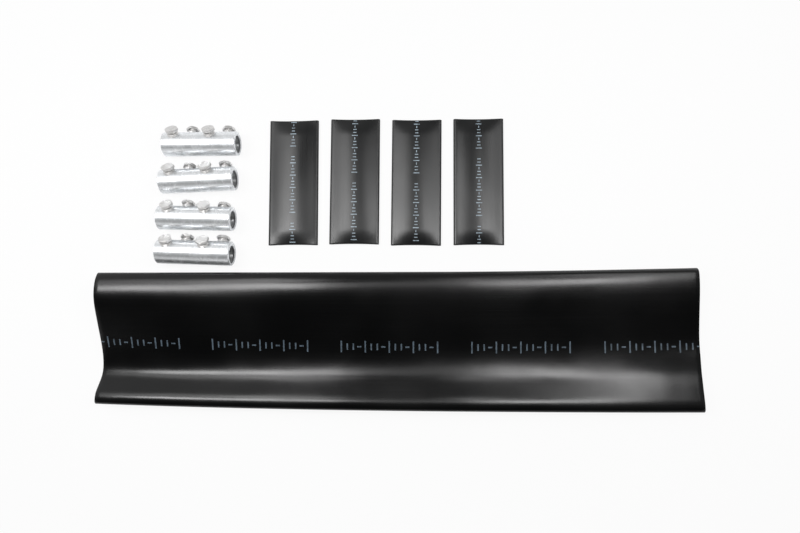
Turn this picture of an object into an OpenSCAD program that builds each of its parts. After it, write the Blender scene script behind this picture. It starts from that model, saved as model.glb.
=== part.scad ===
// Joint kit for one four-core power cable, laid out on a table.
// One long outer tube, four short core tubes and four bolted connectors.
// +X runs along the long tube, +Y towards the connectors, +Z up from the table.

/* [Outer tube] */
// Length of the long tube
tube_len = 850; // [500:5:1100]
// Bore of the long tube when it is blown round
tube_bore = 130; // [100:1:160]
// Wall of the long tube
tube_wall = 1.6; // [1.2:0.1:2.4]
// Clear gap between the two walls along the front fold
tube_gap = 6.2; // [5.6:0.1:9]
// Clear gap at the back fold of the left end
tube_gap_back_left = 9.4; // [8:0.2:12]
// Clear gap at the back fold from the middle to the right end
tube_gap_back = 14; // [11:0.2:17]

/* [Core tubes] */
// Length of a short tube
sleeve_len = 186; // [120:1:240]
// Width of a short tube lying flat
sleeve_w = 73; // [50:0.5:95]
// Wall of the short tubes
sleeve_wall = 1.1; // [0.8:0.1:1.6]
// Clear gap between the walls at the two ends
sleeve_gap_end = 5; // [4.8:0.1:7]
// Clear gap between the walls at half length
sleeve_gap_mid = 10; // [8:0.1:14]
// Length from each end over which a short tube opens up
sleeve_pinch = 24; // [15:1:40]
// How far the end edges draw in at the middle of the width
sleeve_draw = 1; // [0:0.1:3]

/* [Connector body] */
// Outer diameter of the body
body_d = 35; // [32:0.5:42]
// Length of the body
body_len = 109; // [106:1:140]
// Bore for the conductor
bore_d = 25; // [22:0.5:26]
// How far the bore lies off the axis, away from the bolts
bore_offset = 1.2; // [0:0.1:2]
// Solid wall between the two bores
stop_len = 6; // [4:0.5:10]
// Chamfer round each end of the body
body_chamfer = 1; // [0.4:0.1:1.5]

/* [Shear bolts] */
// Width of a hexagon head across its flats
head_af = 17; // [15:0.5:20]
// Height of a head
head_h = 4; // [3:0.25:9]
// Diameter over the thread
bolt_d = 16; // [12:0.5:16]
// Clearance of a bolt in its hole, all round
bolt_fit = 0.15; // [0.1:0.05:0.3]
// Gap between the body and the underside of a head
head_gap = 4.75; // [3.5:0.25:6]
// How far the tip of a bolt stands into the bore
tip_reach = 4.5; // [2:0.25:6]
// Diameter of the shear groove below the head
neck_d = 10; // [7:0.5:11]
// Length of the shear groove
neck_len = 2.4; // [0.8:0.1:3]
// From each end of the body to its outer bolt
bolt_from_end = 16.5; // [13:0.5:20]
// From the outer bolt to the inner bolt
bolt_pitch = 22; // [21:0.5:24]
// Angle between the two rows of bolts
row_angle = 66; // [50:1:75]

/* [Layout] */
// Clear table between the long tube and the short tubes
sleeve_row_gap = 41; // [20:1:80]
// Clear table between neighbouring short tubes
sleeve_space = 17.5; // [5:0.5:40]
// Left edge of the first short tube, from the middle of the long tube
sleeve_start = -186.5; // [-200:0.5:-150]
// Clear table between the connectors and the first short tube
connector_row_gap = 44; // [30:1:70]

/* [Hidden] */
$fn = 96;
cut = 1;

// Slope of the long tube's upper side from its back fold (0) to its front fold (1).
// Degrees, rising towards the front, at the left end, past the middle and at the right end.
slopes_left = [[0, 40], [0.045, 19], [0.095, 7], [0.145, -1], [0.2, -13], [0.28, -22],
               [0.5, -23], [0.6, -18], [0.68, -9], [0.73, -1], [0.775, 15], [0.815, 34],
               [0.905, 38], [0.94, 28], [0.97, 8], [0.985, 0], [1, -8]];
slopes_mid = [[0, 18], [0.042, 5.5], [0.09, 0], [0.2, -8], [0.28, -10], [0.5, -9],
              [0.57, -3.5], [0.62, 2], [0.68, 9], [0.74, 13], [0.8, 22], [0.9, 25],
              [0.94, 20], [0.97, 8], [0.985, 0], [1, -8]];
slopes_right = [[0, 7], [0.02, 3.5], [0.055, 0], [0.12, -5], [0.2, -8], [0.28, -8],
                [0.42, -6], [0.51, 0], [0.58, 6], [0.68, 4], [0.72, 6], [0.77, 10],
                [0.88, 9], [0.93, 12], [0.965, 8], [0.985, 0], [1, -4]];
// Share of the length at which the middle slopes hold, and how fast the ends' slopes fade
mid_share = 0.6;
fade = 1.6;
// Share of the width over which one slope flows into the next
flow = 0.031;
// Shares of the width up to which the back of the long tube stands open
// and from which its walls lie close
open_share = 0.15;
closed_share = 0.45;
// How far the back edge has swung out past the middle and at the right end
swing_mid = 1;
swing_right = 5.5;

// Steps of the long tube: along it, across each side and round each fold
tube_steps = 20;
side_steps = 30;
back_steps = 8;
front_steps = 6;
// Steps of a short tube: along it, across each side and round each fold
sleeve_steps = 12;
sleeve_side_steps = 10;
sleeve_fold_steps = 4;
// Share of its height that a short tube gains next to its ends, the rest following its length
pinch_share = 0.8;
// How much closer together a short tube's steps stand towards its ends
bunching = 0.8;
// How soon a short tube's upper side falls off towards its folds
crown = 1.2;

// How far each short tube lies back from a straight row, and its turn
sleeve_back = [0, 0.9, -1.4, -1.2];
sleeve_turn = [0.1, -0.4, -0.6, -0.3];
// The connectors from the back to the front: clear table in front of each,
// how far its right end lies to the left of the first, and its turn
connector_space = [6.2, 14.4, 5.3, 10.2];
connector_left = [0, 3.3, 4.9, 5.3];
connector_turn = [0, 2.2, -1.5, -2];
// Turn of each hexagon head about its own bolt; a head at 30 has a corner straight down
head_turn = [[3, 28, 58, 12], [12, 2, 14, 34], [12, 31, 6, 5], [0, 12, 29, 22]];
// Share of the gap under its head by which each bolt is turned in beyond the others
turned_in = [[0, 0, 0, 0], [0, 0, 0, 0], [0, 0, 0, 0.5], [0, 0, 0, 0]];

function blend(t, a, b) = a + (b - a) * t;
function least(list) = min([for (p = list) p]);
function most(list) = max([for (p = list) p]);

// Long tube: the outline of its section at share v of the length
wall_loop = PI * (tube_bore + tube_wall);
front_t = tube_gap + 2 * tube_wall;

// What bends at the two ends fades out towards the middle
function by_length(v, left, mid, right) =
    v < mid_share
        ? blend(pow(1 - v / mid_share, fade), mid, left)
        : blend(pow((v - mid_share) / (1 - mid_share), fade), mid, right);

function back_t(v) = by_length(v, tube_gap_back_left, tube_gap_back, tube_gap_back) + 2 * tube_wall;

function side_len(v) =
    (wall_loop - PI / 2 * (back_t(v) - tube_wall) - PI / 2 * (front_t - tube_wall)) / 2;

// The listed slopes flow into each other over a short stretch of the width
function flowing(s, slopes) =
    (lookup(s - flow, slopes) + 2 * lookup(s, slopes) + lookup(s + flow, slopes)) / 4;

function slope(s, v) =
    by_length(v, flowing(s, slopes_left), flowing(s, slopes_mid), flowing(s, slopes_right));

function thickness(s, v) = lookup(s, [[open_share, back_t(v)], [closed_share, front_t]]);

// Upper side as [y, z, slope], starting at the back fold
function upper_side(v) =
    let (step = side_len(v) / side_steps)
    [for (i = 0, y = 0, z = 0;
          i <= side_steps;
          y = y - step * cos(slope((i + 0.5) / side_steps, v)),
          z = z + step * sin(slope((i + 0.5) / side_steps, v)),
          i = i + 1)
        [y, z, slope(i / side_steps, v)]];

function up(p) = [sin(p[2]), cos(p[2])];
function ahead(p) = [-cos(p[2]), sin(p[2])];
function at(p) = [p[0], p[1]];

// Closed loop of the section, drawn in from the outside by inset
function loop(v, inset) =
    let (side = upper_side(v), back = side[0], front = side[side_steps],
         back_mid = at(back) - up(back) * back_t(v) / 2,
         front_mid = at(front) - up(front) * front_t / 2,
         back_r = back_t(v) / 2 - inset,
         front_r = front_t / 2 - inset)
    concat(
        [for (p = side) at(p) - up(p) * inset],
        [for (k = [1 : front_steps - 1]) let (a = 180 * k / front_steps)
            front_mid + front_r * (cos(a) * up(front) + sin(a) * ahead(front))],
        [for (i = [side_steps : -1 : 0])
            at(side[i]) - up(side[i]) * (thickness(i / side_steps, v) - inset)],
        [for (k = [1 : back_steps - 1]) let (a = 180 * k / back_steps)
            back_mid - back_r * (cos(a) * up(back) + sin(a) * ahead(back))]);

function back_edge(v) = by_length(v, 0, swing_mid, swing_right);

// The section is set down on the table with its back edge on the layout line
function seat(v) =
    let (outside = loop(v, 0))
    [back_edge(v) - most([for (p = outside) p[0]]), -least([for (p = outside) p[1]])];

function tube_ring(v, inset) =
    let (shift = seat(v))
    [for (p = loop(v, inset)) [(v - 0.5) * tube_len, p[0] + shift[0], p[1] + shift[1]]];

// Short tube: the loop at share v of the length, drawn in by inset
sleeve_t_end = sleeve_gap_end + 2 * sleeve_wall;
sleeve_t_mid = sleeve_gap_mid + 2 * sleeve_wall;

// It is pinched flat at both ends, like a pillow, and opens up within sleeve_pinch of them
function opened(v) = sin(90 * min(min(v, 1 - v) * sleeve_len / sleeve_pinch, 1));
function sleeve_t(v) =
    blend(blend(pinch_share, sin(180 * v), opened(v)), sleeve_t_end, sleeve_t_mid);
function arch(q) = pow(1 - q * q, crown);

// Share of the length at which step i of a short tube stands
function sleeve_share(i) =
    let (even = i / sleeve_steps) blend(bunching, even, (1 - cos(180 * even)) / 2);

function sleeve_loop(v, inset) =
    let (r = sleeve_t_end / 2, half = sleeve_w / 2 - r, n = sleeve_side_steps)
    concat(
        [for (i = [0 : n]) let (q = 1 - 2 * i / n)
            [q * half, sleeve_t_end - inset + (sleeve_t(v) - sleeve_t_end) * arch(q)]],
        [for (k = [1 : sleeve_fold_steps - 1]) let (a = 90 + 180 * k / sleeve_fold_steps)
            [-half + (r - inset) * cos(a), r + (r - inset) * sin(a)]],
        [for (i = [0 : n]) let (q = -1 + 2 * i / n) [q * half, inset]],
        [for (k = [1 : sleeve_fold_steps - 1]) let (a = -90 + 180 * k / sleeve_fold_steps)
            [half + (r - inset) * cos(a), r + (r - inset) * sin(a)]]);

function sleeve_ring(v, inset) =
    [for (p = sleeve_loop(v, inset)) let (q = 2 * p[0] / sleeve_w)
        [p[0], (v - 0.5) * (sleeve_len - 2 * sleeve_draw * (1 - q * q)), p[1]]];

// Skins the outer and inner loops of an open tube
module skin(outer, inner) {
    m = len(outer[0]);
    rows = len(outer);
    both = concat(outer, inner);
    function at_ring(r, k) = r * m + k % m;
    polyhedron(
        points = [for (ring = both) for (p = ring) p],
        faces = concat(
            [for (r = [0 : rows - 2]) for (k = [0 : m - 1]) each [
                [at_ring(r, k), at_ring(r + 1, k), at_ring(r + 1, k + 1)],
                [at_ring(r, k), at_ring(r + 1, k + 1), at_ring(r, k + 1)]]],
            [for (r = [rows : 2 * rows - 2]) for (k = [0 : m - 1]) each [
                [at_ring(r, k), at_ring(r + 1, k + 1), at_ring(r + 1, k)],
                [at_ring(r, k), at_ring(r, k + 1), at_ring(r + 1, k + 1)]]],
            [for (k = [0 : m - 1]) each [
                [at_ring(0, k), at_ring(0, k + 1), at_ring(rows, k + 1)],
                [at_ring(0, k), at_ring(rows, k + 1), at_ring(rows, k)]]],
            [for (k = [0 : m - 1]) each [
                [at_ring(rows - 1, k), at_ring(2 * rows - 1, k + 1), at_ring(rows - 1, k + 1)],
                [at_ring(rows - 1, k), at_ring(2 * rows - 1, k), at_ring(2 * rows - 1, k + 1)]]]),
        convexity = 8);
}

tube_outer = [for (i = [0 : tube_steps]) tube_ring(i / tube_steps, 0)];
tube_inner = [for (i = [0 : tube_steps]) tube_ring(i / tube_steps, tube_wall)];
sleeve_outer = [for (i = [0 : sleeve_steps]) sleeve_ring(sleeve_share(i), 0)];
sleeve_inner = [for (i = [0 : sleeve_steps]) sleeve_ring(sleeve_share(i), sleeve_wall)];

// Connector: a body lies on its barrel and on the heads of its lower row
body_r = body_d / 2;
bore_r = bore_d / 2;
bore_len = (body_len - stop_len) / 2;
head_r = head_af / 2 / cos(30);
face_share = 0.96;
face_r = face_share * head_af / 2;
head_rim = 0.2;
chamfer_angle = 30;
head_top = body_r + head_gap + head_h;
corner_top = head_top - (head_r - face_r) * tan(chamfer_angle);
lean_limit = 40;
lean_halvings = 24;
lean = -lean_down(0, lean_limit, lean_halvings);
row_angles = [lean + row_angle, lean];
bore_dir = lean + row_angle / 2;
tip_end = bore_wall(row_angle / 2) - tip_reach;
tip_share = 0.7;
hole_d = bolt_d + 2 * bolt_fit;
bolt_stations = [
    bolt_from_end,
    bolt_from_end + bolt_pitch,
    body_len - bolt_from_end - bolt_pitch,
    body_len - bolt_from_end
];

// Angle below level at which the corner of a head comes down onto the table, by halving
function lean_down(low, high, turns) =
    let (mid = (low + high) / 2)
    turns == 0
        ? mid
        : body_r - corner_top * sin(mid) - head_r * cos(mid) > 0
            ? lean_down(mid, high, turns - 1)
            : lean_down(low, mid, turns - 1);

// Distance from the body's axis to the wall of the bore along a bolt
function bore_wall(a) = -bore_offset * cos(a) + sqrt(bore_r * bore_r - pow(bore_offset * sin(a), 2));

// Layout of the whole kit
function connector_reach() = head_top * cos(lean) + head_r * sin(-lean);
function connector_y(i) =
    i == 3
        ? connector_space[3] + body_r
        : connector_y(i + 1) + connector_reach() + connector_space[i] + body_r;
connector_x = sleeve_start - connector_row_gap;
sleeve_y = sleeve_row_gap + sleeve_len / 2;

kit_front = least([for (ring = tube_outer) for (p = ring) p[1]]);
sleeves_end = most([for (i = [0 : 3])
    sleeve_y + sleeve_back[i] + sleeve_len / 2 * cos(sleeve_turn[i])
        + sleeve_w / 2 * abs(sin(sleeve_turn[i]))]);
kit_back = max(sleeves_end, connector_y(0) + connector_reach());
kit_mid = (kit_front + kit_back) / 2;

module outer_tube() {
    color("#17181a")
        translate([0, -kit_mid, 0])
            skin(tube_outer, tube_inner);
}

module core_tube(i) {
    color("#1c1d20")
        translate([
            sleeve_start + sleeve_w / 2 + i * (sleeve_w + sleeve_space),
            sleeve_y + sleeve_back[i] - kit_mid,
            0])
            rotate([0, 0, sleeve_turn[i]])
                skin(sleeve_outer, sleeve_inner);
}

// Puts its children at the right end of connector i, with the barrel along -X
module at_connector(i) {
    translate([connector_x - connector_left[i], connector_y(i) - kit_mid, body_r])
        rotate([0, 0, connector_turn[i]])
            children();
}

// Puts its children on bolt k, with +Z out along the bolt from the barrel's axis
module at_bolt(k) {
    translate([bolt_stations[k] - body_len, 0, 0])
        rotate([row_angles[k % 2] - 90, 0, 0])
            children();
}

module barrel() {
    c = body_chamfer;
    rotate([0, -90, 0])
        rotate_extrude()
            polygon([
                [0, 0], [body_r - c, 0], [body_r, c],
                [body_r, body_len - c], [body_r - c, body_len], [0, body_len]]);
}

// A blind bore from one end: x is where it starts and along is its direction
module bore(x, along) {
    translate([x, -bore_offset * cos(bore_dir), -bore_offset * sin(bore_dir)])
        rotate([0, 90 * along, 0])
            translate([0, 0, -cut])
                cylinder(d = bore_d, h = bore_len + cut);
}

module connector_body(i) {
    color("#c9cdd2")
        at_connector(i)
            difference() {
                barrel();
                bore(0, -1);
                bore(-body_len, 1);
                for (k = [0 : 3])
                    at_bolt(k)
                        cylinder(d = hole_d, h = body_r + cut);
            }
}

module shank() {
    r = bolt_d / 2;
    tip_r = tip_share * r;
    thread_end = body_r + head_gap - neck_len;
    rotate_extrude()
        polygon([
            [0, tip_end], [tip_r, tip_end],
            [r, tip_end + (r - tip_r)],
            [r, thread_end],
            [neck_d / 2, thread_end],
            [neck_d / 2, head_top - head_h / 2],
            [0, head_top - head_h / 2]]);
}

// Hexagon head with its corners turned off at both faces
module head(turn) {
    rim_r = head_r + head_rim;
    fall = (rim_r - face_r) * tan(chamfer_angle);
    translate([0, 0, head_top - head_h])
        intersection() {
            rotate([0, 0, turn])
                cylinder(r = head_r, h = head_h, $fn = 6);
            rotate_extrude()
                polygon([
                    [0, 0], [face_r, 0], [rim_r, fall],
                    [rim_r, head_h - fall], [face_r, head_h], [0, head_h]]);
        }
}

module shear_bolt(i, k) {
    color("#b9b6af")
        at_connector(i)
            at_bolt(k)
                translate([0, 0, -turned_in[i][k] * head_gap]) {
                    shank();
                    head(head_turn[i][k]);
                }
}

outer_tube();
core_tube(0);  // core_tube_1
core_tube(1);  // core_tube_2
core_tube(2);  // core_tube_3
core_tube(3);  // core_tube_4
connector_body(0);  // connector_body_1
connector_body(1);  // connector_body_2
connector_body(2);  // connector_body_3
connector_body(3);  // connector_body_4
shear_bolt(0, 0);  // shear_bolt_1_1
shear_bolt(0, 1);  // shear_bolt_1_2
shear_bolt(0, 2);  // shear_bolt_1_3
shear_bolt(0, 3);  // shear_bolt_1_4
shear_bolt(1, 0);  // shear_bolt_2_1
shear_bolt(1, 1);  // shear_bolt_2_2
shear_bolt(1, 2);  // shear_bolt_2_3
shear_bolt(1, 3);  // shear_bolt_2_4
shear_bolt(2, 0);  // shear_bolt_3_1
shear_bolt(2, 1);  // shear_bolt_3_2
shear_bolt(2, 2);  // shear_bolt_3_3
shear_bolt(2, 3);  // shear_bolt_3_4
shear_bolt(3, 0);  // shear_bolt_4_1
shear_bolt(3, 1);  // shear_bolt_4_2
shear_bolt(3, 2);  // shear_bolt_4_3
shear_bolt(3, 3);  // shear_bolt_4_4
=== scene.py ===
import math

import bmesh
import bpy
import numpy as np
from mathutils import Matrix, Vector


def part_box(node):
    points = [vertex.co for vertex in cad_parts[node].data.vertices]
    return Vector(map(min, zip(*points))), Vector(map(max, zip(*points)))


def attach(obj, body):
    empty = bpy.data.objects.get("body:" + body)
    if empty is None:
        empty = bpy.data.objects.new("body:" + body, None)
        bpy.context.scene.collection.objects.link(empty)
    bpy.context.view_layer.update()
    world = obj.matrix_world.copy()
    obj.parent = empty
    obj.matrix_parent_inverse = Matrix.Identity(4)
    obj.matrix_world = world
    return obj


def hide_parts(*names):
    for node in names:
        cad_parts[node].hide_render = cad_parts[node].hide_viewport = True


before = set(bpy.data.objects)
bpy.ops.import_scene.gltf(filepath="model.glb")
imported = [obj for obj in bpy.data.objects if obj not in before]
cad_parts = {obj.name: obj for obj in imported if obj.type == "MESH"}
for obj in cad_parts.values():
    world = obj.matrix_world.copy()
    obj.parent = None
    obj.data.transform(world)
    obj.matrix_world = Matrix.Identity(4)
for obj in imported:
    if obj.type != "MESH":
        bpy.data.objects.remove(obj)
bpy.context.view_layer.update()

# Sizes of pieces are in millimetres, as in the solids' source, until MM turns them into metres.
# The camera, the floor and the lamps are in metres. Angles are in degrees.
MM = 0.001
ROOT = "root"
WHITE = (1, 1, 1, 1)


def link(thing):
    bpy.context.scene.collection.objects.link(thing)
    return thing


def turned(angle, axis):
    return Matrix.Rotation(math.radians(angle), 4, axis)


def blend(t, a, b):
    return a + (b - a) * t


# The photograph's own camera, fitted to the outlines of the tubes
CAMERA_AT = (0.045, -0.07122, 0.83963)
CAMERA_PITCH, CAMERA_YAW = 4.339, -2.604
CAMERA_LENS, SENSOR_WIDTH, CAMERA_REACH = 26.04, 36.0, 60


def make_camera():
    pitch, yaw = math.radians(CAMERA_PITCH), math.radians(CAMERA_YAW)
    cp, sp = math.cos(pitch), math.sin(pitch)
    cy, sy = math.cos(yaw), math.sin(yaw)
    right = Vector((cy, 0, sy))
    up = Vector((-sp * sy, cp, sp * cy))
    back = Vector((-cp * sy, -sp, cp * cy))
    data = bpy.data.cameras.new("camera")
    data.lens = CAMERA_LENS
    data.sensor_width = SENSOR_WIDTH
    data.clip_end = CAMERA_REACH
    camera = link(bpy.data.objects.new("camera", data))
    turn = Matrix((right, up, back)).transposed().to_4x4()
    camera.matrix_world = Matrix.Translation(CAMERA_AT) @ turn
    bpy.context.scene.camera = camera


# Sockets of a Mix node that mixes two colours
MIX_SHARE, MIX_FIRST, MIX_SECOND, MIX_COLOUR = 0, 6, 7, 2


class Graph:
    """Short names for the shader nodes that the materials are made of."""

    def __init__(self, tree):
        self.tree = tree
        self.tree.nodes.clear()

    def add(self, kind, inputs=None, **settings):
        node = self.tree.nodes.new("ShaderNode" + kind)
        for key, value in settings.items():
            setattr(node, key, value)
        for key, value in (inputs or {}).items():
            self.feed(node.inputs[key], value)
        return node

    def feed(self, socket, value):
        if isinstance(value, bpy.types.NodeSocket):
            self.tree.links.new(value, socket)
        else:
            socket.default_value = value

    def math(self, operation, a, b=0.0, c=0.0, clamp=False):
        node = self.add("Math", operation=operation, use_clamp=clamp)
        for socket, value in zip(node.inputs, (a, b, c)):
            self.feed(socket, value)
        return node.outputs[0]

    def ramp(self, value, low, high, to_low=0.0, to_high=1.0):
        return self.add("MapRange", {"Value": value, "From Min": low, "From Max": high,
                                     "To Min": to_low, "To Max": to_high},
                        interpolation_type="SMOOTHSTEP").outputs["Result"]

    def mix(self, share, a, b):
        node = self.add("Mix", data_type="RGBA")
        for socket, value in ((MIX_SHARE, share), (MIX_FIRST, a), (MIX_SECOND, b)):
            self.feed(node.inputs[socket], value)
        return node.outputs[MIX_COLOUR]

    def mix_shaders(self, share, a, b):
        return self.add("MixShader", {0: share, 1: a, 2: b}).outputs[0]

    def number(self, name):
        return self.add("Attribute", attribute_name=name).outputs["Fac"]

    def place(self):
        return self.add("TexCoord").outputs["Object"]

    def noise(self, scale, detail=2.0, rough=0.5, vector=None):
        return self.add("TexNoise", {"Vector": vector or self.place(), "Scale": scale,
                                     "Detail": detail, "Roughness": rough}).outputs["Fac"]

    def line_noise(self, value, scale, detail):
        return self.add("TexNoise", {"W": value, "Scale": scale, "Detail": detail},
                        noise_dimensions="1D").outputs["Fac"]

    def bump(self, height, size, normal=None):
        """size is the bumps' depth in metres and their strength."""
        node = self.add("Bump", {"Height": height, "Distance": size[0], "Strength": size[1]})
        if normal:
            self.feed(node.inputs["Normal"], normal)
        return node.outputs["Normal"]


def grey(value, warm=0.0):
    return (value * (1 + warm), value, value * (1 - warm), 1)


def material(name):
    mat = bpy.data.materials.new(name)
    mat.use_nodes = True
    return mat, Graph(mat.node_tree)


def finish_material(graph, shader):
    graph.add("OutputMaterial", {"Surface": shader})


# Marks in the place of the tubes' legends. Of each CYCLE cells the first holds a tall tick, the
# next two hold short ones and the last holds a dash. Ticks reach to either side by a share of
# the marks' height, and dashes by a share of a cell.
CYCLE, TALL_BELOW, DASH_ABOVE = 4.0, 0.5, 2.5
SHORT_REACH, TALL_EXTRA, DASH_REACH = 0.28, 0.22, 0.34


def marks(g, height, pitch, group, cells, stroke):
    """1 where there is ink: a group of cells in each pitch along a tube."""
    inside = g.math("MODULO", g.number("along"), pitch)
    cell = g.math("DIVIDE", inside, group / cells)
    kind = g.math("MODULO", g.math("FLOOR", cell), CYCLE)
    off_centre = g.math("ABSOLUTE", g.math("SUBTRACT", g.math("FRACT", cell), 0.5))
    aside = g.math("ABSOLUTE", g.number("across"))
    is_tall = g.math("LESS_THAN", kind, TALL_BELOW)
    is_dash = g.math("GREATER_THAN", kind, DASH_ABOVE)
    reach = g.math("MULTIPLY_ADD", is_tall, TALL_EXTRA * height, SHORT_REACH * height)
    tick = g.math("MULTIPLY", g.math("LESS_THAN", off_centre, stroke / 2 / (group / cells)),
                  g.math("LESS_THAN", aside, reach))
    dash = g.math("MULTIPLY", g.math("LESS_THAN", aside, stroke / 2),
                  g.math("LESS_THAN", off_centre, DASH_REACH))
    ink = g.math("ADD", g.math("MULTIPLY", tick, g.math("SUBTRACT", 1.0, is_dash)),
                 g.math("MULTIPLY", dash, is_dash), clamp=True)
    ink = g.math("MULTIPLY", ink, g.math("LESS_THAN", inside, group))
    return g.math("MULTIPLY", ink, g.math("GREATER_THAN", g.number("printed"), 0.5))


# Black plastic. Noise scales are per metre, and the streaks' per millimetre along and across the
# tube. The clouds' two greys are a share of the plastic's shade and a warmth. Where a row has
# four values, they are a noise's range and what it becomes.
STREAK_ALONG, STREAK_ACROSS, STREAK_DETAIL, STREAK_CRISP = 0.004, 0.9, 3.0, 0.6
CLOUD_SCALE, CLOUD_DARK, CLOUD_LIGHT = 9.0, (0.75, -0.06), (1.25, -0.03)
WEAR_SCALE, WEAR_DETAIL, WEAR_RANGE = 260.0, 3.0, (0.30, 0.62, 0.55, 1.0)
FINE_SCALE, WAVE_SCALE = 900.0, 15.0
INK_SHARE, INK_ROUGHER = 0.85, 0.15
NOISE_LOW, NOISE_HIGH = 0.3, 0.7
STREAK_ROUGH, CLOUD_GLOSSIER, CLOUD_ROUGHER = 0.02, 0.025, 0.04
STREAK_BUMP, FINE_BUMP, WAVE_BUMP = (0.00002, 0.05), (0.00002, 0.5), (0.0008, 0.55)


def polyolefin(name, shade, ink, print_size, roughness, ior):
    """Satin black plastic with worn marks: shade is its grey, print_size what marks() takes."""
    mat, g = material(name)
    streak_at = g.add("CombineXYZ", {"X": g.math("MULTIPLY", g.number("along"), STREAK_ALONG),
                                     "Y": g.math("MULTIPLY", g.number("across"), STREAK_ACROSS)})
    streaks = g.noise(1.0, STREAK_DETAIL, STREAK_CRISP, streak_at.outputs[0])
    cloud = g.noise(CLOUD_SCALE)
    dark, light = (grey(share * shade, warm) for share, warm in (CLOUD_DARK, CLOUD_LIGHT))
    wear = g.ramp(g.noise(WEAR_SCALE, WEAR_DETAIL), *WEAR_RANGE)
    mask = g.math("MULTIPLY", marks(g, **print_size), wear)
    colour = g.mix(g.math("MULTIPLY", mask, INK_SHARE), g.mix(cloud, dark, light), ink)
    rough = g.math("ADD", g.ramp(streaks, NOISE_LOW, NOISE_HIGH, -STREAK_ROUGH, STREAK_ROUGH),
                   g.ramp(cloud, NOISE_LOW, NOISE_HIGH,
                          roughness - CLOUD_GLOSSIER, roughness + CLOUD_ROUGHER))
    rough = g.math("MULTIPLY_ADD", mask, INK_ROUGHER, rough)
    normal = g.bump(streaks, STREAK_BUMP)
    normal = g.bump(g.noise(FINE_SCALE), FINE_BUMP, normal)
    normal = g.bump(g.noise(WAVE_SCALE), WAVE_BUMP, normal)
    shader = g.add("BsdfPrincipled", {"Base Color": colour, "Roughness": rough,
                                      "Normal": normal, "IOR": ior})
    finish_material(g, shader.outputs[0])
    return mat


# Metal. The scale of the turned marks is per millimetre of "grain", with broad marks at a share
# of it, and both shift the tone of the cloudy plating. Specks are dull spots. The bores are
# duller than the rest, and painted shade darkens their colour.
RING_DETAIL, RING_TONE = 3.0, 0.35
BROAD_SCALE, BROAD_DETAIL, BROAD_TONE = 0.12, 2.0, 0.5
NOISE_MIDDLE = 0.5
PLATING_SCALE, PLATING_DETAIL, TOOTH_SCALE = 70.0, 3.0, 1500.0
SPECK_SCALE, SPECK_RANGE = 420.0, (0.60, 0.74)
SPECK_GREY, SPECK_SHARE, SPECK_ROUGHER = (0.42, 0.03), 0.25, 0.12
BORE_SHADE_GREY, BORE_SHADE_SHARE, BORE_ROUGHER = (0.45, -0.01), 0.75, 0.06
RING_ROUGH, PLATING_ROUGH = (0.25, 0.75, -0.05, 0.05), (0.3, 0.7, -0.03, 0.06)
RING_BUMP, TOOTH_BUMP = (0.00003, 0.6), (0.00002, 0.3)


def tinned(name, light, dark, roughness, haze, haze_share, ring_scale):
    """Turned and plated metal, of which haze_share is duller, with haze as its roughness."""
    mat, g = material(name)
    grain = g.number("grain")
    inside = g.number("inside")
    rings = g.line_noise(grain, ring_scale, RING_DETAIL)
    broad = g.line_noise(grain, ring_scale * BROAD_SCALE, BROAD_DETAIL)
    cloud = g.noise(PLATING_SCALE, PLATING_DETAIL)
    speck = g.ramp(g.noise(SPECK_SCALE), *SPECK_RANGE)
    ring_change = g.math("SUBTRACT", rings, NOISE_MIDDLE)
    broad_change = g.math("SUBTRACT", broad, NOISE_MIDDLE)
    tone = g.math("MULTIPLY_ADD", broad_change, BROAD_TONE, cloud)
    tone = g.math("MULTIPLY_ADD", ring_change, RING_TONE, tone, clamp=True)
    colour = g.mix(tone, dark, light)
    colour = g.mix(g.math("MULTIPLY", speck, SPECK_SHARE), colour, grey(*SPECK_GREY))
    # Painted shade: the colour inside the bores is darkened.
    colour = g.mix(g.math("MULTIPLY", inside, BORE_SHADE_SHARE), colour, grey(*BORE_SHADE_GREY))
    change = g.math("ADD", g.ramp(rings, *RING_ROUGH), g.ramp(cloud, *PLATING_ROUGH))
    change = g.math("MULTIPLY_ADD", speck, SPECK_ROUGHER, change)
    change = g.math("MULTIPLY_ADD", inside, BORE_ROUGHER, change)
    normal = g.bump(rings, RING_BUMP)
    normal = g.bump(g.noise(TOOTH_SCALE), TOOTH_BUMP, normal)
    clear, dull = (g.add("BsdfPrincipled", {"Base Color": colour, "Normal": normal,
                                            "Roughness": g.math("ADD", change, rough),
                                            "Metallic": 1.0}).outputs[0]
                   for rough in (roughness, haze))
    finish_material(g, g.mix_shaders(haze_share, clear, dull))
    return mat


def volume(points, faces):
    """Six times the volume that quads enclose, negative where they face inwards."""
    a, b, c, d = (points[faces[:, k]] for k in range(4))
    one = np.einsum("ij,ij->i", a, np.cross(b, c)).sum()
    two = np.einsum("ij,ij->i", a, np.cross(c, d)).sum()
    return one + two


def skin(rows):
    """Quads over rings that close on themselves both ways, facing out."""
    n, m = rows.shape[:2]
    points = rows.reshape(-1, 3)
    r = np.repeat(np.arange(n), m)
    k = np.tile(np.arange(m), n)
    r2, k2 = (r + 1) % n, (k + 1) % m
    faces = np.stack([r * m + k, r2 * m + k, r2 * m + k2, r * m + k2], 1)
    if volume(points, faces) < 0:
        faces = faces[:, ::-1]
    return points, faces


def mesh_from(name, points, faces):
    mesh = bpy.data.meshes.new(name)
    mesh.from_pydata(points, [], faces)
    return mesh


def points_of(mesh):
    points = np.zeros(len(mesh.vertices) * 3)
    mesh.vertices.foreach_get("co", points)
    return points.reshape(-1, 3)


def set_numbers(mesh, numbers):
    """Gives the mesh's points named numbers, which the materials read."""
    for key, values in numbers.items():
        layer = mesh.attributes.new(key, "FLOAT", "POINT")
        layer.data.foreach_set("value", np.asarray(values, dtype=np.float32))


def smooth(mesh, sharp_from):
    mesh.polygons.foreach_set("use_smooth", [True] * len(mesh.polygons))
    mesh.set_sharp_from_angle(angle=math.radians(sharp_from))
    mesh.update()


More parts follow.
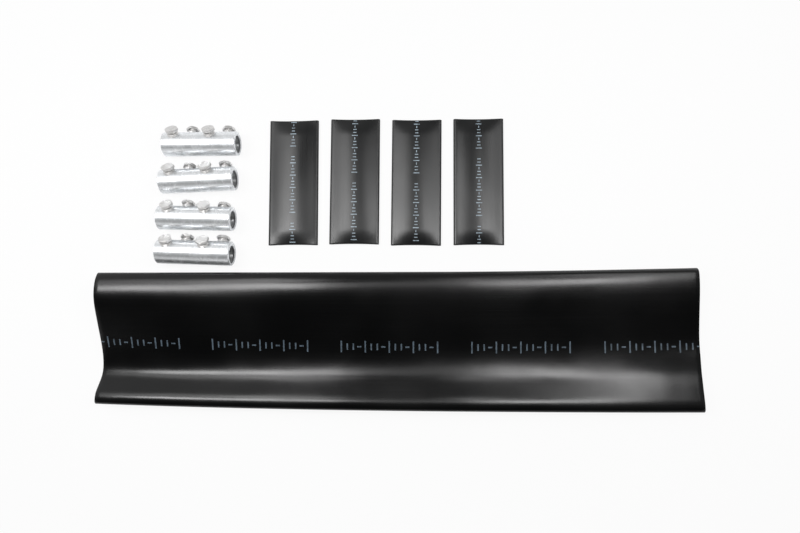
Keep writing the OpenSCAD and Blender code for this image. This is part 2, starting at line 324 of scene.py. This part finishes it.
def place_piece(name, mesh, mat, node):
    piece = link(bpy.data.objects.new(name, mesh))
    mesh.materials.clear()
    mesh.materials.append(mat)
    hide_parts(node)
    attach(piece, ROOT)


# Tubes. The cut edge of a wall is rounded by CUT_EDGE in two steps, and the first lies EDGE_STEP
# of it from each face.
CUT_EDGE, EDGE_STEP = 0.3, 0.29
TUBE_SHARP = 40.0


def tube_rows(shares, length, wall):
    """(share of the length, inset from the outer face) of each row all round an open tube."""
    step = CUT_EDGE * EDGE_STEP
    rim = [(step, step), (0, CUT_EDGE), (0, wall / 2), (0, wall - CUT_EDGE), (step, wall - step)]
    rows = [(v, 0.0) for v in shares]
    rows += [(1 - from_end / length, inset) for from_end, inset in rim]
    rows += [(v, wall) for v in shares[::-1]]
    rows += [(from_end / length, inset) for from_end, inset in rim[::-1]]
    return rows


def tube_skin(name, rows, printing):
    """Mesh over rows of points, with (along, across, printed) for each row's marks."""
    points, faces = skin(rows)
    mesh = mesh_from(name, points.tolist(), faces.tolist())
    set_numbers(mesh, dict(zip(("along", "across", "printed"), np.concatenate(printing, 1))))
    smooth(mesh, TUBE_SHARP)
    return mesh


def fold(n, middle, radius, up, ahead):
    """Points between the ends of a half circle that starts at up and bulges towards ahead."""
    a = np.pi * np.arange(1, n)[:, None] / n
    return middle + radius * (np.cos(a) * up + np.sin(a) * ahead)


# Outer tube: the gap between its walls along the front fold, at the left end of the back fold
# and along the rest of that
TUBE_LEN, TUBE_BORE, TUBE_WALL = 850.0, 130.0, 1.6
TUBE_GAP, GAP_BACK_LEFT, GAP_BACK = 6.2, 9.4, 14.0
# (share of the width from the back, slope) of its upper side, at the left end, at MID_SHARE of
# the length and at the right end. SMOOTHING rounds the lists, as a share of the width.
SLOPES = [
    [(0, 40), (0.045, 19), (0.095, 7), (0.145, -1), (0.2, -13), (0.28, -22), (0.5, -23),
     (0.6, -18), (0.68, -9), (0.73, -1), (0.775, 15), (0.815, 34), (0.905, 38), (0.94, 28),
     (0.97, 8), (0.985, 0), (1, -8)],
    [(0, 18), (0.042, 5.5), (0.09, 0), (0.2, -8), (0.28, -10), (0.5, -9), (0.57, -3.5),
     (0.62, 2), (0.68, 9), (0.74, 13), (0.8, 22), (0.9, 25), (0.94, 20), (0.97, 8), (0.985, 0),
     (1, -8)],
    [(0, 7), (0.02, 3.5), (0.055, 0), (0.12, -5), (0.2, -8), (0.28, -8), (0.42, -6), (0.51, 0),
     (0.58, 6), (0.68, 4), (0.72, 6), (0.77, 10), (0.88, 9), (0.93, 12), (0.965, 8), (0.985, 0),
     (1, -4)]]
MID_SHARE, FADE, SMOOTHING = 0.6, 1.6, 0.022
# The walls lie apart by the back gap up to OPEN_SHARE of the width, and by the front gap from
# CLOSED_SHARE on.
OPEN_SHARE, CLOSED_SHARE = 0.15, 0.45
# How far the back edge swings back at MID_SHARE and at the right end
SWING_MID, SWING_RIGHT = 1.0, 5.5
TUBE_SIDE, TUBE_BACK, TUBE_FRONT, TUBE_ROWS = 120, 24, 18, 131
# Marks: the arc from the back edge to their line and the zone to either side of it, then where
# the first group starts from the left end, and the spacing and length of groups
LEGEND_ARC, LEGEND_REACH = 102.5, 15
LEGEND_START, LEGEND_PITCH, LEGEND_GROUP = -28.0, 186.0, 146.0


def by_length(v, left, mid, right):
    if v < MID_SHARE:
        return blend((1 - v / MID_SHARE) ** FADE, mid, left)
    return blend(((v - MID_SHARE) / (1 - MID_SHARE)) ** FADE, mid, right)


def smoothed(table, at):
    """A list of (share, value) pairs read at some shares, blurred by a bell of SMOOTHING."""
    fine = np.linspace(-0.1, 1.1, 1201)
    raw = np.interp(fine, *zip(*table))
    step = fine[1] - fine[0]
    reach = int(4 * SMOOTHING / step)
    kernel = np.exp(-0.5 * (np.arange(-reach, reach + 1) * step / SMOOTHING) ** 2)
    padded = np.pad(raw, reach, mode="edge")
    return np.interp(at, fine, np.convolve(padded, kernel / kernel.sum(), "valid"))


SIDE_AT = np.linspace(0, 1, TUBE_SIDE + 1)
SLOPE_AT = [smoothed(table, SIDE_AT) for table in SLOPES]
SLOPE_BETWEEN = [smoothed(table, (SIDE_AT[1:] + SIDE_AT[:-1]) / 2) for table in SLOPES]


def tube_section(v, inset):
    """(y, z) loop of the long tube's section at share v of its length, and its side's arc."""
    front_t = TUBE_GAP + 2 * TUBE_WALL
    back_t = by_length(v, GAP_BACK_LEFT, GAP_BACK, GAP_BACK) + 2 * TUBE_WALL
    around = math.pi * (TUBE_BORE + TUBE_WALL)
    side = (around - math.pi / 2 * (back_t + front_t - 2 * TUBE_WALL)) / 2
    between = np.radians(by_length(v, *SLOPE_BETWEEN))
    a = np.radians(by_length(v, *SLOPE_AT))
    step = side / TUBE_SIDE
    y = np.concatenate([[0], np.cumsum(-step * np.cos(between))])
    z = np.concatenate([[0], np.cumsum(step * np.sin(between))])
    top = np.stack([y, z], 1)
    up = np.stack([np.sin(a), np.cos(a)], 1)
    ahead = np.stack([-np.cos(a), np.sin(a)], 1)
    thick = np.interp(SIDE_AT, [OPEN_SHARE, CLOSED_SHARE], [back_t, front_t])

    def loop(depth):
        front, back = front_t / 2, back_t / 2
        return np.concatenate([
            top - up * depth,
            fold(TUBE_FRONT, top[-1] - up[-1] * front, front - depth, up[-1], ahead[-1]),
            (top - up * (thick - depth)[:, None])[::-1],
            fold(TUBE_BACK, top[0] - up[0] * back, back - depth, -up[0], -ahead[0])])

    outside = loop(0)
    swing = by_length(v, 0, SWING_MID, SWING_RIGHT)
    return loop(inset) + [swing - outside[:, 0].max(), -outside[:, 1].min()], side


def make_outer_tube(mat):
    low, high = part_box("outer_tube")
    shares = np.linspace(CUT_EDGE / TUBE_LEN, 1 - CUT_EDGE / TUBE_LEN, TUBE_ROWS)
    rows, printing = [], []
    for v, inset in tube_rows(list(shares), TUBE_LEN, TUBE_WALL):
        loop, side = tube_section(v, inset)
        rows.append(np.column_stack([np.full(len(loop), (v - 0.5) * TUBE_LEN), loop]))
        arc = np.full(len(loop), side)
        arc[:TUBE_SIDE + 1] = SIDE_AT * side
        across = arc - LEGEND_ARC
        printed = (inset == 0) & (np.abs(across) < LEGEND_REACH)
        printing.append(np.broadcast_arrays(v * TUBE_LEN - LEGEND_START, across, printed))
    rows = np.array(rows) * MM
    # The finer section fills the solid's box and never passes it.
    front, width = rows[..., 1].min(), np.ptp(rows[..., 1])
    rows[..., 1] = low[1] + (rows[..., 1] - front) * (high[1] - low[1]) / width
    rows[..., 2] *= high[2] / rows[..., 2].max()
    mesh = tube_skin("outer_tube_skin", rows, printing)
    place_piece("outer_tube_skin", mesh, mat, "outer_tube")


# Core tubes: the gap between their walls at the ends and at half length, and how far the ends
# draw in at the middle of the width
SLEEVE_LEN, SLEEVE_W, SLEEVE_WALL = 186.0, 73.0, 1.1
SLEEVE_GAP_END, SLEEVE_GAP_MID, SLEEVE_DRAW = 5.0, 10.0, 1.0
# The pinch's length from an end, how much of the full gap is reached by then, and the power of
# the arch across the width
SLEEVE_PINCH, PINCH_SHARE, ARCH_POWER = 24.0, 0.8, 1.2
SLEEVE_TURN = [0.1, -0.4, -0.6, -0.3]
SLEEVE_SIDE, SLEEVE_FOLD, SLEEVE_ROWS, ROWS_CROWD = 44, 9, 67, 0.5
# Marks: the zone to either side of their line, the spacing and length of groups, and where a
# group starts on each tube from its front end
SLEEVE_REACH, SLEEVE_PITCH, SLEEVE_GROUP = 9, 98.5, 87.0
SLEEVE_STARTS = [45.3, 4.2, 4.5, 39.9]


def sleeve_ring(v, inset):
    """Points of a core tube's row at share v of its length, in millimetres."""
    t_end = SLEEVE_GAP_END + 2 * SLEEVE_WALL
    t_mid = SLEEVE_GAP_MID + 2 * SLEEVE_WALL
    from_end = min(v, 1 - v) * SLEEVE_LEN
    opened = math.sin(math.pi / 2 * min(from_end / SLEEVE_PINCH, 1))
    t = blend(blend(PINCH_SHARE, math.sin(math.pi * v), opened), t_end, t_mid)
    r = t_end / 2
    half = SLEEVE_W / 2 - r
    q = np.linspace(1, -1, SLEEVE_SIDE + 1)
    arch = (1 - q * q) ** ARCH_POWER
    over = np.column_stack([q * half, t_end - inset + (t - t_end) * arch])
    under = np.column_stack([-q * half, np.full(len(q), inset)])
    up, out = np.array([0.0, 1.0]), np.array([1.0, 0.0])
    left = fold(SLEEVE_FOLD, np.array([-half, r]), r - inset, up, -out)
    right = fold(SLEEVE_FOLD, np.array([half, r]), r - inset, -up, out)
    loop = np.concatenate([over, left, under, right])
    side = 2 * loop[:, 0] / SLEEVE_W
    y = (v - 0.5) * (SLEEVE_LEN - 2 * SLEEVE_DRAW * (1 - side * side))
    return np.column_stack([loop[:, 0], y, loop[:, 1]])


def make_core_tube(i, mat):
    node = f"core_tube_{i + 1}"
    low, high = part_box(node)
    middle = Matrix.Translation(((low[0] + high[0]) / 2, (low[1] + high[1]) / 2, 0))
    bent = (1 - np.cos(np.linspace(0, math.pi, SLEEVE_ROWS))) / 2
    shares = blend(ROWS_CROWD, bent, np.linspace(0, 1, SLEEVE_ROWS))
    edge = CUT_EDGE / SLEEVE_LEN
    shares = edge + (1 - 2 * edge) * shares
    rows, printing = [], []
    for v, inset in tube_rows(list(shares), SLEEVE_LEN, SLEEVE_WALL):
        ring = sleeve_ring(v, inset)
        rows.append(ring)
        on_top = np.arange(len(ring)) <= SLEEVE_SIDE
        along = ring[:, 1] + SLEEVE_LEN / 2 - SLEEVE_STARTS[i] + SLEEVE_PITCH
        across = ring[:, 0]
        printed = (inset == 0) & on_top & (np.abs(across) < SLEEVE_REACH)
        printing.append((along, across, printed))
    mesh = tube_skin(f"{node}_skin", np.array(rows) * MM, printing)
    mesh.transform(middle @ turned(SLEEVE_TURN[i], "Z"))
    place_piece(f"{node}_skin", mesh, mat, node)


# Connectors
BODY_D, BODY_LEN, BODY_CHAMFER = 35.0, 109.0, 1.0
BORE_D, BORE_OFFSET, STOP_LEN = 25.0, 1.2, 6.0
HEAD_AF, HEAD_H, HEAD_GAP = 17.0, 4.0, 4.75
BOLT_D, BOLT_FIT, TIP_REACH = 16.0, 0.15, 4.5
NECK_D, NECK_LEN = 10.0, 2.4
BOLT_STATIONS = [16.5, 38.5, 70.5, 92.5]
ROW_ANGLE = 66.0
CONNECTOR_TURN = [0.0, 2.2, -1.5, -2.0]
HEAD_TURN = [[3, 28, 58, 12], [12, 2, 14, 34], [12, 31, 6, 5], [0, 12, 29, 22]]
# Share of the gap under its head by which each bolt is turned in beyond the others
TURNED_IN = [[0, 0, 0, 0], [0, 0, 0, 0], [0, 0, 0, 0.5], [0, 0, 0, 0]]
FACE_SHARE, CHAMFER_ANGLE = 0.96, 30.0
BODY_R = BODY_D / 2
HEAD_TOP = BODY_R + HEAD_GAP + HEAD_H
HEAD_R = HEAD_AF / 2 / math.cos(math.pi / 6)
FACE_R = FACE_SHARE * HEAD_AF / 2
LEAN_LIMIT, LEAN_TRIES = 40, 40


def lean_angle():
    """How far below level the lower row of heads comes down onto the table."""
    corner_top = HEAD_TOP - (HEAD_R - FACE_R) * math.tan(math.radians(CHAMFER_ANGLE))
    low, high = 0.0, math.radians(LEAN_LIMIT)
    for _ in range(LEAN_TRIES):
        mid = (low + high) / 2
        if BODY_R - corner_top * math.sin(mid) - HEAD_R * math.cos(mid) > 0:
            low = mid
        else:
            high = mid
    return -math.degrees(mid)


LEAN = lean_angle()
ROW_ANGLES = [LEAN + ROW_ANGLE, LEAN]
BORE_DIR = math.radians(LEAN + ROW_ANGLE / 2)
BORE_AT = (-BORE_OFFSET * math.cos(BORE_DIR), -BORE_OFFSET * math.sin(BORE_DIR))
HALF_ROW = math.radians(ROW_ANGLE / 2)
BORE_WALL = -BORE_OFFSET * math.cos(HALF_ROW) + math.sqrt(
    (BORE_D / 2) ** 2 - (BORE_OFFSET * math.sin(HALF_ROW)) ** 2)
TIP_END = BORE_WALL - TIP_REACH


def lathe(profile, count):
    """Closed solid of revolution about +Z from (radius, height) pairs, poles included."""
    profile = np.asarray(profile, float)
    a = 2 * np.pi * np.arange(count) / count
    points = [(0, 0, profile[0][1])]
    for r, z in profile:
        points += [(r * math.cos(t), r * math.sin(t), z) for t in a]
    points.append((0, 0, profile[-1][1]))
    faces = []
    n = len(profile)
    last = len(points) - 1
    for k in range(count):
        j = (k + 1) % count
        faces.append((0, 1 + j, 1 + k))
        faces.append((last, 1 + (n - 1) * count + k, 1 + (n - 1) * count + j))
        for i in range(n - 1):
            a0, a1 = 1 + i * count + k, 1 + i * count + j
            faces.append((a0, a1, a1 + count, a0 + count))
    return points, faces


def lathed(name, profile, count, place):
    """Object with a lathed mesh, set in its place."""
    mesh = mesh_from(name, *lathe(profile, count))
    mesh.transform(place)
    return link(bpy.data.objects.new(name, mesh))


def cut_away(body, cutters):
    for cutter in cutters:
        cut = body.modifiers.new("cut", "BOOLEAN")
        cut.operation = "DIFFERENCE"
        cut.solver = "EXACT"
        cut.object = cutter
    graph = bpy.context.evaluated_depsgraph_get()
    result = bpy.data.meshes.new_from_object(body.evaluated_get(graph))
    for cutter in cutters + [body]:
        old = cutter.data
        bpy.data.objects.remove(cutter)
        bpy.data.meshes.remove(old)
    return result


# Rings along and points round the barrel, and points round the cutters of bores and holes,
# which start CUTTER_OVER outside the body
BARREL_RINGS, BARREL_AROUND, BORE_AROUND, HOLE_AROUND = 56, 112, 72, 64
CUTTER_OVER, BORE_MOUTH = 1.0, 0.8
# Grooves in the bores: their spacing and depth, the distance from either end of a bore, and the
# shares of the spacing at which a groove is deepest and ends
GROOVE_PITCH, GROOVE_DEPTH, GROOVE_START = 1.6, 0.3, 3.0
GROOVE_MIDDLE, GROOVE_END = 0.35, 0.7
# A point is inside a bore this far in from its end, and up to this far out from its wall.
INSIDE_FROM, INSIDE_MARGIN = 0.7, 0.05


def bore_profile():
    """Bore from its mouth inwards, with fine grooves that grip the conductor."""
    r, deep = BORE_D / 2, (BODY_LEN - STOP_LEN) / 2
    profile = [(r + BORE_MOUTH + CUTTER_OVER, -CUTTER_OVER), (r, BORE_MOUTH)]
    z = GROOVE_START
    while z < deep - GROOVE_START:
        profile += [(r, z), (r + GROOVE_DEPTH, z + GROOVE_MIDDLE * GROOVE_PITCH),
                    (r, z + GROOVE_END * GROOVE_PITCH)]
        z += GROOVE_PITCH
    return profile + [(r, deep)]


def bore_of(mesh):
    """1 on the bores' walls and bottoms, where the colour carries painted shade, and 0 on the
    rest of the body.
    """
    x, y, z = points_of(mesh).T
    reach = np.hypot(y - BORE_AT[0], z - BORE_AT[1])
    depth = np.minimum(-x, x + BODY_LEN)
    return (reach < BORE_D / 2 + GROOVE_DEPTH + INSIDE_MARGIN) & (depth > INSIDE_FROM)


def at_bolt(k):
    """+Z runs out along bolt k from the barrel's axis."""
    return (Matrix.Translation((BOLT_STATIONS[k] - BODY_LEN, 0, 0))
            @ turned(ROW_ANGLES[k % 2] - 90, "X"))


def at_connector(i):
    low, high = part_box(f"connector_body_{i + 1}")
    centre = Vector(((low[0] + high[0]) / 2, (low[1] + high[1]) / 2, BODY_R * MM))
    return (Matrix.Translation(centre) @ turned(CONNECTOR_TURN[i], "Z")
            @ Matrix.Translation((BODY_LEN / 2 * MM, 0, 0)) @ Matrix.Scale(MM, 4))


def body_mesh():
    """One connector body in millimetres, its right end at the origin and its barrel along -X."""
    c = BODY_CHAMFER
    rings = np.linspace(c, BODY_LEN - c, BARREL_RINGS)
    profile = [(BODY_R - c, 0)] + [(BODY_R, z) for z in rings] + [(BODY_R - c, BODY_LEN)]
    barrel = lathed("barrel", profile, BARREL_AROUND, turned(-90, "Y"))
    cutters = [lathed("bore", bore_profile(), BORE_AROUND,
                      Matrix.Translation((x, *BORE_AT)) @ turned(90 * along, "Y"))
               for x, along in ((0, -1), (-BODY_LEN, 1))]
    hole = BOLT_D / 2 + BOLT_FIT
    cutters += [lathed("hole", [(hole, 0), (hole, BODY_R + CUTTER_OVER)], HOLE_AROUND, at_bolt(k))
                for k in range(len(BOLT_STATIONS))]
    bpy.context.view_layer.update()
    return cut_away(barrel, cutters)


# Bolts: points round them, the radius at the poles, and the ring that the face has besides
BOLT_AROUND, POLE_R, FACE_RING = 72, 0.01, 0.55
TIP_SHARE = 0.7
# Thread, with (share of a turn, share of the depth) of its crest, flanks and root, and the
# length over which it fades out below the neck
THREAD_PITCH, THREAD_DEPTH, THREAD_FADE = 2.0, 0.75, 0.6
THREAD_SHAPE = ((0.0, 0), (0.14, 0), (0.44, 1), (0.58, 1), (0.9999, 0))
# Half of the angle that one flat of a hexagon takes up, and the distance that joins two points
HALF_FLAT, WELD = 30, 0.0005


def bolt_points():
    """Rows of one shear bolt from its tip to its face, in millimetres."""
    r = BOLT_D / 2
    tip_r = TIP_SHARE * r
    thread_top = BODY_R + HEAD_GAP - NECK_LEN
    under = HEAD_TOP - HEAD_H
    a = 2 * np.pi * np.arange(BOLT_AROUND) / BOLT_AROUND
    ring = np.column_stack([np.cos(a), np.sin(a)])

    def level(radius, z):
        radius = np.broadcast_to(radius, BOLT_AROUND)
        z = np.broadcast_to(z, BOLT_AROUND)
        return np.column_stack([ring * radius[:, None], z])

    rows = [level(POLE_R, TIP_END), level(tip_r, TIP_END)]
    cone_top = TIP_END + (r - tip_r)
    rows.append(level(r - THREAD_DEPTH, cone_top - THREAD_DEPTH))
    for turn in range(-1, int((thread_top - cone_top) / THREAD_PITCH) + 2):
        for share, depth in THREAD_SHAPE:
            z = cone_top + (turn + share + a / (2 * np.pi)) * THREAD_PITCH
            z = np.clip(z, cone_top - THREAD_DEPTH, thread_top)
            near_tip = np.clip((z - cone_top + THREAD_DEPTH) / THREAD_DEPTH, 0, 1)
            near_top = np.clip((thread_top - z) / THREAD_FADE, 0, 1)
            cut = np.maximum(np.maximum(depth, 1 - near_tip), 1 - near_top)
            rows.append(level(r - THREAD_DEPTH * cut, z))
    rows += [level(r - THREAD_DEPTH, thread_top), level(NECK_D / 2, thread_top),
             level(NECK_D / 2, under)]
    off = (np.degrees(a) + HALF_FLAT) % (2 * HALF_FLAT) - HALF_FLAT
    hexagon = HEAD_AF / 2 / np.cos(np.radians(off))
    fall = (hexagon - FACE_R) * math.tan(math.radians(CHAMFER_ANGLE))
    rows += [level(FACE_R, under), level(hexagon, under + fall), level(hexagon, HEAD_TOP - fall),
             level(FACE_R, HEAD_TOP), level(FACE_RING * FACE_R, HEAD_TOP),
             level(POLE_R, HEAD_TOP)]
    return np.array(rows)


def bolt_mesh(turn):
    rows = bolt_points()
    n, m = rows.shape[:2]
    faces = []
    for r in range(n - 1):
        for k in range(m):
            j = (k + 1) % m
            faces.append((r * m + k, r * m + j, (r + 1) * m + j, (r + 1) * m + k))
    faces.append(tuple(range(m))[::-1])
    faces.append(tuple((n - 1) * m + k for k in range(m)))
    # The rows start in the middle of a flat, and the solids' hexagons at a corner.
    spin = Matrix.Rotation(math.radians(HALF_FLAT + turn), 3, "Z")
    points = rows.reshape(-1, 3) @ np.array(spin.transposed())
    bm = bmesh.new()
    verts = [bm.verts.new(p) for p in points]
    for face in faces:
        bm.faces.new([verts[k] for k in face])
    bmesh.ops.remove_doubles(bm, verts=bm.verts, dist=WELD)
    bmesh.ops.dissolve_degenerate(bm, edges=bm.edges, dist=WELD)
    bmesh.ops.recalc_face_normals(bm, faces=bm.faces)
    mesh = bpy.data.meshes.new("bolt")
    bm.to_mesh(mesh)
    bm.free()
    return mesh


def dress(mesh, name, numbers, matrix, sharp_from):
    """A copy of the mesh in its place, smooth, with its numbers."""
    made = mesh.copy()
    made.name = name
    set_numbers(made, numbers)
    made.transform(matrix)
    smooth(made, sharp_from)
    return made


BODY_SHARP, BOLT_SHARP = 30, 25
# Shifts of the grain, so that no two bodies or bolts carry the same turned marks
BODY_SHIFT, BOLT_SHIFT, BOLT_ROW_SHIFT = 40, 13, 57


def make_connectors(body_mat, bolt_mat):
    body = body_mesh()
    x, y, z = points_of(body).T
    body_grain = x + np.hypot(y, z)
    inside = bore_of(body)
    for i in range(len(CONNECTOR_TURN)):
        at = at_connector(i)
        name = f"connector_body_{i + 1}"
        numbers = {"grain": body_grain + BODY_SHIFT * i, "inside": inside}
        made = dress(body, f"{name}_turned", numbers, at, BODY_SHARP)
        place_piece(f"{name}_turned", made, body_mat, name)
        for k in range(len(BOLT_STATIONS)):
            bolt = bolt_mesh(HEAD_TURN[i][k])
            x, y, z = points_of(bolt).T
            grain = z + np.hypot(x, y) + BOLT_SHIFT * k + BOLT_ROW_SHIFT * i
            name = f"shear_bolt_{i + 1}_{k + 1}"
            sunk = Matrix.Translation((0, 0, -TURNED_IN[i][k] * HEAD_GAP))
            made = dress(bolt, f"{name}_turned", {"grain": grain}, at @ at_bolt(k) @ sunk,
                         BOLT_SHARP)
            place_piece(f"{name}_turned", made, bolt_mat, name)


# Floor. What the camera sees of it glows white, by FLOOR_GLOW up to SEEN_NEAR from the middle
# and fully from SEEN_FAR on. What gloss mirrors of it glows by MIRROR_GLOW up to MIRRORED_NEAR,
# so that it keeps the pieces' shadows, and fully from MIRRORED_FAR on.
FLOOR_SIZE, FLOOR_DROP, FLOOR_COLOUR = 14.0, 0.00005, (0.86, 0.865, 0.87, 1)
SEEN_NEAR, SEEN_FAR, FLOOR_GLOW = 0.55, 1.6, 0.92
MIRRORED_NEAR, MIRRORED_FAR, MIRROR_GLOW = 0.45, 1.2, 0.0


def make_floor():
    bpy.ops.mesh.primitive_plane_add(size=FLOOR_SIZE, location=(0, 0, -FLOOR_DROP))
    floor = bpy.context.object
    floor.name = "floor"
    mat, g = material("floor_paper")
    diffuse = g.add("BsdfDiffuse", {"Color": FLOOR_COLOUR})
    glow = g.add("Emission", {"Color": WHITE, "Strength": 1.0})
    away = g.add("VectorMath", {0: g.place()}, operation="LENGTH").outputs["Value"]
    path = g.add("LightPath").outputs
    seen = g.math("MULTIPLY", path["Is Camera Ray"],
                  g.ramp(away, SEEN_NEAR, SEEN_FAR, FLOOR_GLOW, 1.0))
    mirrored = g.math("ADD", path["Is Glossy Ray"], path["Is Transmission Ray"], clamp=True)
    mirrored = g.math("MULTIPLY", mirrored,
                      g.ramp(away, MIRRORED_NEAR, MIRRORED_FAR, MIRROR_GLOW, 1.0))
    share = g.math("ADD", seen, mirrored, clamp=True)
    finish_material(g, g.mix_shaders(share, diffuse.outputs[0], glow.outputs[0]))
    floor.data.materials.append(mat)


# World: strength of the room's white walls along one axis of the direction, as where a change
# starts and ends and the strengths there. The back wall's depends on its left and right too.
SKIRTING = (0.17, 0.30, 1.0, 0.0)
FRONT_WALL = (0.38, 0.64, 0.62, 0.01)
BACK_WALL = (0.60, 0.95, 1.0, 0.08)
BACK_LEFT_TO_RIGHT = (-0.35, -0.05, 0.62, 0.35)
FRONT_TO_BACK = (-0.3, 0.3)


def make_world():
    world = bpy.data.worlds.new("studio")
    world.use_nodes = True
    bpy.context.scene.world = world
    g = Graph(world.node_tree)
    direction = g.add("TexCoord").outputs["Generated"]
    parts = g.add("SeparateXYZ", {0: direction}).outputs
    front = g.ramp(parts["Z"], *FRONT_WALL)
    back = g.math("MULTIPLY", g.ramp(parts["Z"], *BACK_WALL),
                  g.ramp(parts["X"], *BACK_LEFT_TO_RIGHT))
    walls = g.math("MULTIPLY_ADD", g.math("SUBTRACT", back, front),
                   g.ramp(parts["Y"], *FRONT_TO_BACK), front)
    strength = g.math("MAXIMUM", g.ramp(parts["Z"], *SKIRTING), walls)
    background = g.add("Background", {"Color": WHITE, "Strength": strength})
    g.add("OutputWorld", {"Surface": background.outputs[0]})


# Softboxes at one height: name, centre, size along X and Y, radiance, and the point of the floor
# that each faces
LAMP_HEIGHT = 0.86
SOFTBOXES = [
    ("strip_left", (-0.60, 0.105), (0.40, 0.18), 12.6, (-0.60, 0.105)),
    ("strip_inner", (-0.305, 0.11), (0.19, 0.17), 10.8, (-0.305, 0.11)),
    ("strip_right", (0.46, 0.12), (0.475, 0.15), 11.0, (0.46, 0.12)),
    ("strip_mid", (0.005, 0.125), (0.43, 0.14), 1.6, (0.005, 0.125)),
    ("panel_far", (-0.72, 0.38), (0.38, 0.34), 2.2, (-0.3, 0.15)),
    ("panel_left", (-0.40, 0.36), (0.28, 0.28), 4.2, (-0.15, 0.1)),
    ("panel_mid", (0.24, 0.28), (0.24, 0.14), 3.2, (0.1, 0.1)),
    ("panel_right", (0.65, 0.36), (0.58, 0.28), 2.2, (0.2, 0.1)),
]


def make_lamps():
    for name, centre, size, radiance, target in SOFTBOXES:
        data = bpy.data.lights.new(name, "AREA")
        data.shape = "RECTANGLE"
        data.size, data.size_y = size
        data.energy = radiance * math.pi * size[0] * size[1]
        lamp = link(bpy.data.objects.new(name, data))
        lamp.location = (*centre, LAMP_HEIGHT)
        facing = Vector((*target, 0)) - Vector((*centre, LAMP_HEIGHT))
        lamp.rotation_euler = facing.to_track_quat("-Z", "Y").to_euler()
        lamp.visible_camera = False


TUBE_MARKS = {"height": 16.6, "pitch": LEGEND_PITCH, "group": LEGEND_GROUP, "cells": 17,
              "stroke": 2.0}
SLEEVE_MARKS = {"height": 8.6, "pitch": SLEEVE_PITCH, "group": SLEEVE_GROUP, "cells": 19,
                "stroke": 1.25}
TUBE_INK = (0.125, 0.165, 0.205, 1)
SLEEVE_INK = (0.42, 0.52, 0.60, 1)

bpy.context.scene.view_settings.view_transform = "Standard"
make_camera()
make_world()
make_lamps()
make_floor()
make_outer_tube(polyolefin("outer_polyolefin", shade=0.0026, ink=TUBE_INK,
                           print_size=TUBE_MARKS, roughness=0.215, ior=1.5))
core_mat = polyolefin("core_polyolefin", shade=0.008, ink=SLEEVE_INK,
                      print_size=SLEEVE_MARKS, roughness=0.31, ior=1.57)
for i in range(len(SLEEVE_TURN)):
    make_core_tube(i, core_mat)
make_connectors(tinned("tin_plating", light=grey(0.95, -0.016), dark=grey(0.88, -0.024),
                       roughness=0.23, haze=0.58, haze_share=0.47, ring_scale=9.0),
                tinned("bolt_metal", light=grey(0.78, 0.008), dark=grey(0.67, 0.016),
                       roughness=0.28, haze=0.58, haze_share=0.50, ring_scale=6.0))
